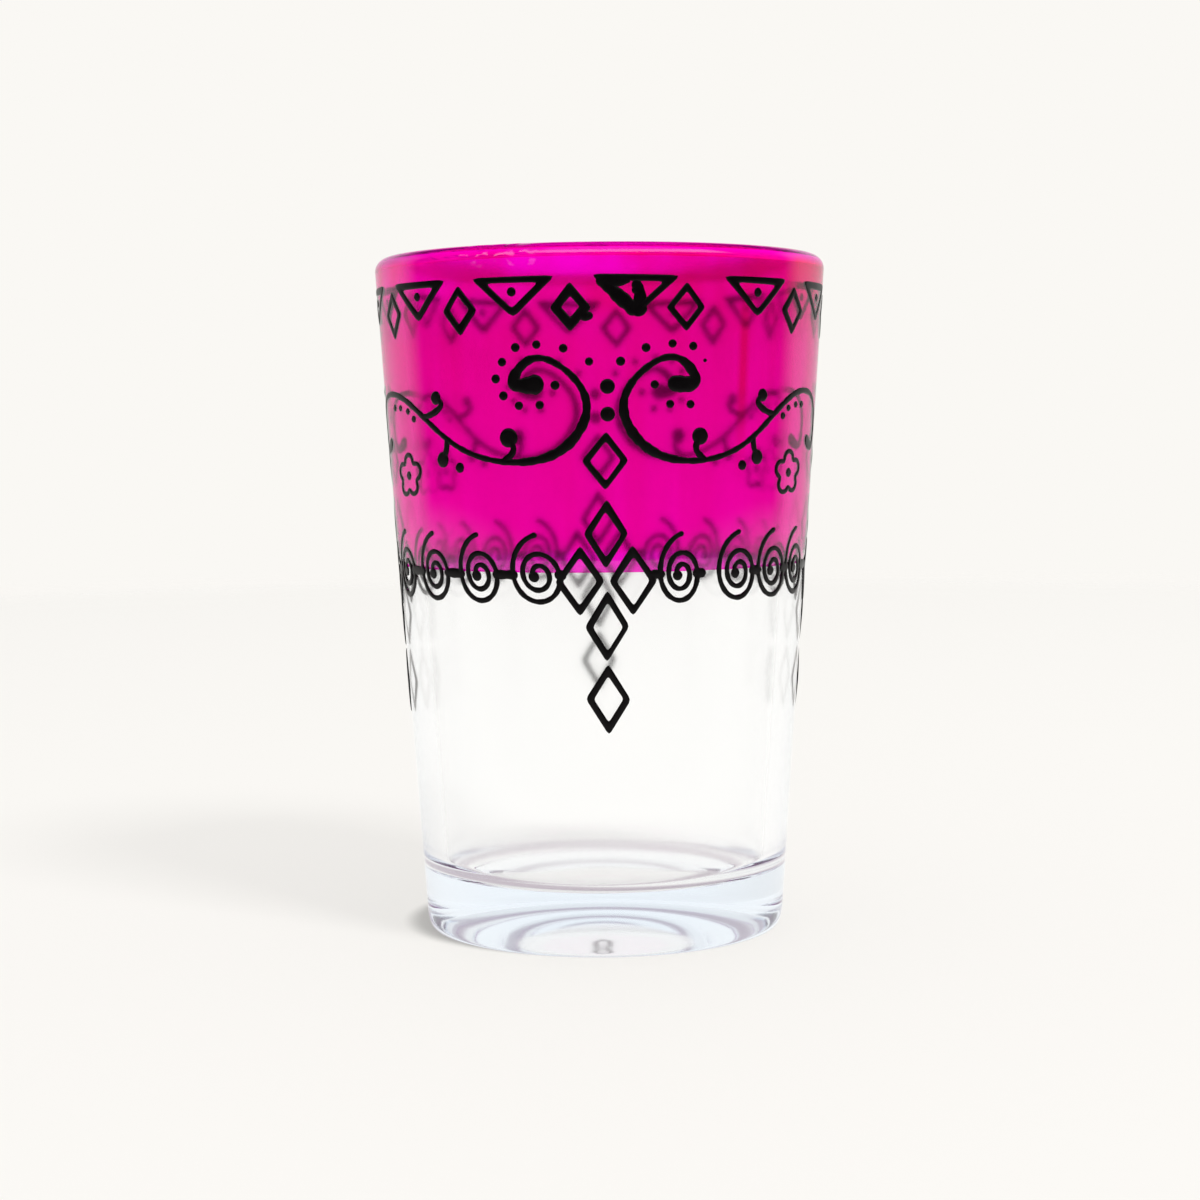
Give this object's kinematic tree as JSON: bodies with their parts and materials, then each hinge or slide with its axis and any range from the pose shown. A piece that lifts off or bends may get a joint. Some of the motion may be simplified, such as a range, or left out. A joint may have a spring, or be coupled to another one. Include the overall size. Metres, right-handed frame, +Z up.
{
  "type": "tea glass",
  "caption": "Tapered tea glass with a translucent magenta lacquer band over the rim and black raised enamel trails of diamonds, spirals, vines and flowers, for hot mint tea.",
  "frame": {"origin": "on the glass's axis, on the surface that it stands on", "axes": "+Z up along the axis; -Y towards the front pendant, the side in the picture; +X to the right"},
  "size_m": [0.0602, 0.0602, 0.09],
  "materials": {
    "clear_glass": "pressed, fire-polished, clear",
    "magenta_lacquer": "glossy translucent sprayed lacquer",
    "black_enamel": "glossy raised trail"
  },
  "bodies": {
    "root": {"glass_tumbler": "clear_glass", "magenta_lacquer_band": "magenta_lacquer", "border_triangles": "black_enamel", "border_triangle_dots": "black_enamel", "border_diamonds": "black_enamel", "front_pendant_diamonds": "black_enamel", "front_pendant_dots": "black_enamel", "right_pendant_diamonds": "black_enamel", "right_pendant_dots": "black_enamel", "back_pendant_diamonds": "black_enamel", "back_pendant_dots": "black_enamel", "left_pendant_diamonds": "black_enamel", "left_pendant_dots": "black_enamel", "front_right_spiral_chain": "black_enamel", "front_right_vine": "black_enamel", "front_right_vine_dots": "black_enamel", "front_right_flower": "black_enamel", "back_right_spiral_chain": "black_enamel", "back_right_vine": "black_enamel", "back_right_vine_dots": "black_enamel", "back_right_flower": "black_enamel", "back_left_spiral_chain": "black_enamel", "back_left_vine": "black_enamel", "back_left_vine_dots": "black_enamel", "back_left_flower": "black_enamel", "front_left_spiral_chain": "black_enamel", "front_left_vine": "black_enamel", "front_left_vine_dots": "black_enamel", "front_left_flower": "black_enamel"}
  },
  "joints": []
}
